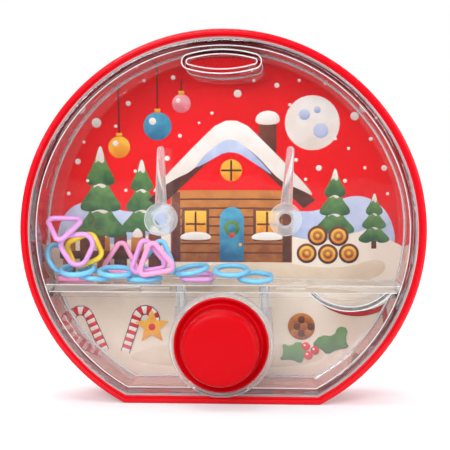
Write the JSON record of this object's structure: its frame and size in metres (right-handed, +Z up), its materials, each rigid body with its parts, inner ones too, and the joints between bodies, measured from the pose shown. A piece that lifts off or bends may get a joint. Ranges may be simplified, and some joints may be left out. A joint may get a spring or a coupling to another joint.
{
  "type": "handheld water game",
  "caption": "Handheld ring-toss water game: a clear flat tank in a round red tray, with a soft pump button, jets, pegs and loose rings.",
  "frame": {"origin": "centre of the footprint, at the flat base", "axes": "+X to the right and -Y out of the window, as seen from the front; +Z up; the case's width runs along X and its depth along Y"},
  "size_m": [0.12, 0.0362, 0.1106],
  "materials": {
    "red_shell": "gloss",
    "soft_red": "satin",
    "clear": "clear gloss",
    "card": "printed, under the clear plate",
    "blue_ring": "gloss",
    "pink_ring": "gloss",
    "lilac_ring": "gloss",
    "yellow_ring": "gloss"
  },
  "bodies": {
    "case": {"rear_cover": "red_shell", "picture_card": "card", "tank_back": "clear", "tank_front": "clear", "shelf": "clear", "jet_left": "clear", "jet_right": "clear", "peg_left": "clear", "peg_right": "clear", "button_skirt": "soft_red"},
    "button": {"button_cap": "soft_red"},
    "stopper": {"filler_plug": "soft_red"},
    "blue_round": {"ring_blue_round": "blue_ring"},
    "lilac_drop": {"ring_lilac_drop": "lilac_ring"},
    "lilac_egg": {"ring_lilac_egg": "lilac_ring"},
    "yellow_square": {"ring_yellow_square": "yellow_ring"},
    "blue_upright": {"ring_blue_upright": "blue_ring"},
    "blue_leaning": {"ring_blue_leaning": "blue_ring"},
    "blue_under": {"ring_blue_under": "blue_ring"},
    "pink_flat": {"ring_pink_flat": "pink_ring"},
    "blue_oval": {"ring_blue_oval": "blue_ring"},
    "pink_arch": {"ring_pink_arch": "pink_ring"},
    "blue_flat": {"ring_blue_flat": "blue_ring"},
    "pink_triangle": {"ring_pink_triangle": "pink_ring"},
    "lilac_triangle": {"ring_lilac_triangle": "lilac_ring"},
    "blue_triangle": {"ring_blue_triangle": "blue_ring"},
    "blue_edge": {"ring_blue_edge": "blue_ring"},
    "lilac_square": {"ring_lilac_square": "lilac_ring"},
    "blue_hexagon": {"ring_blue_hexagon": "blue_ring"}
  },
  "joints": [
    {"name": "button_press", "type": "slide", "parent": "case", "child": "button", "axis": [0, 1, 0], "range_m": [0, 0.005], "stiffness_N_per_m": 800},
    {"name": "stopper_pull", "type": "slide", "parent": "case", "child": "stopper", "axis": [0, 1, 0], "range_m": [0, 0.015]},
    {"name": "blue_round_rise", "type": "slide", "parent": "case", "child": "blue_round", "axis": [0, 0, 1], "range_m": [0, 0.024]},
    {"name": "lilac_drop_rise", "type": "slide", "parent": "case", "child": "lilac_drop", "axis": [0.28, 0, 0.96], "range_m": [0, 0.024]},
    {"name": "lilac_egg_rise", "type": "slide", "parent": "case", "child": "lilac_egg", "axis": [0, 0, 1], "range_m": [0, 0.0192]},
    {"name": "yellow_square_rise", "type": "slide", "parent": "case", "child": "yellow_square", "axis": [0, 0, 1], "range_m": [0, 0.0192]},
    {"name": "blue_upright_rise", "type": "slide", "parent": "case", "child": "blue_upright", "axis": [0, 0, 1], "range_m": [0, 0.012]},
    {"name": "blue_leaning_rise", "type": "slide", "parent": "case", "child": "blue_leaning", "axis": [0, 0, 1], "range_m": [0, 0.0144]},
    {"name": "blue_under_rise", "type": "slide", "parent": "case", "child": "blue_under", "axis": [0, 0, 1], "range_m": [0, 0.012]},
    {"name": "pink_flat_rise", "type": "slide", "parent": "case", "child": "pink_flat", "axis": [0, 0, 1], "range_m": [0, 0.0096]},
    {"name": "blue_oval_rise", "type": "slide", "parent": "case", "child": "blue_oval", "axis": [0, 0, 1], "range_m": [0, 0.0144]},
    {"name": "pink_arch_rise", "type": "slide", "parent": "case", "child": "pink_arch", "axis": [0, 0, 1], "range_m": [0, 0.024]},
    {"name": "blue_flat_rise", "type": "slide", "parent": "case", "child": "blue_flat", "axis": [0, 0, 1], "range_m": [0, 0.0096]},
    {"name": "pink_triangle_rise", "type": "slide", "parent": "case", "child": "pink_triangle", "axis": [0, 0, 1], "range_m": [0, 0.024]},
    {"name": "lilac_triangle_rise", "type": "slide", "parent": "case", "child": "lilac_triangle", "axis": [0, 0, 1], "range_m": [0, 0.024]},
    {"name": "blue_triangle_rise", "type": "slide", "parent": "case", "child": "blue_triangle", "axis": [0, 0, 1], "range_m": [0, 0.024]},
    {"name": "blue_edge_rise", "type": "slide", "parent": "case", "child": "blue_edge", "axis": [0, 0, 1], "range_m": [0, 0.0096]},
    {"name": "lilac_square_rise", "type": "slide", "parent": "case", "child": "lilac_square", "axis": [0, 0, 1], "range_m": [0, 0.0072]},
    {"name": "blue_hexagon_rise", "type": "slide", "parent": "case", "child": "blue_hexagon", "axis": [0, 0, 1], "range_m": [0, 0.012]}
  ],
  "couplings": [
    {"joint": "lilac_drop_rise", "follows": "blue_round_rise", "ratio": 1},
    {"joint": "lilac_egg_rise", "follows": "blue_round_rise", "ratio": 0.8},
    {"joint": "yellow_square_rise", "follows": "blue_round_rise", "ratio": 0.8},
    {"joint": "blue_upright_rise", "follows": "blue_round_rise", "ratio": 0.5},
    {"joint": "blue_leaning_rise", "follows": "blue_round_rise", "ratio": 0.6},
    {"joint": "blue_under_rise", "follows": "blue_round_rise", "ratio": 0.5},
    {"joint": "pink_flat_rise", "follows": "blue_round_rise", "ratio": 0.4},
    {"joint": "blue_oval_rise", "follows": "blue_round_rise", "ratio": 0.6},
    {"joint": "pink_arch_rise", "follows": "blue_round_rise", "ratio": 1},
    {"joint": "blue_flat_rise", "follows": "blue_round_rise", "ratio": 0.4},
    {"joint": "pink_triangle_rise", "follows": "blue_round_rise", "ratio": 1},
    {"joint": "lilac_triangle_rise", "follows": "blue_round_rise", "ratio": 1},
    {"joint": "blue_triangle_rise", "follows": "blue_round_rise", "ratio": 1},
    {"joint": "blue_edge_rise", "follows": "blue_round_rise", "ratio": 0.4},
    {"joint": "lilac_square_rise", "follows": "blue_round_rise", "ratio": 0.3},
    {"joint": "blue_hexagon_rise", "follows": "blue_round_rise", "ratio": 0.5}
  ]
}
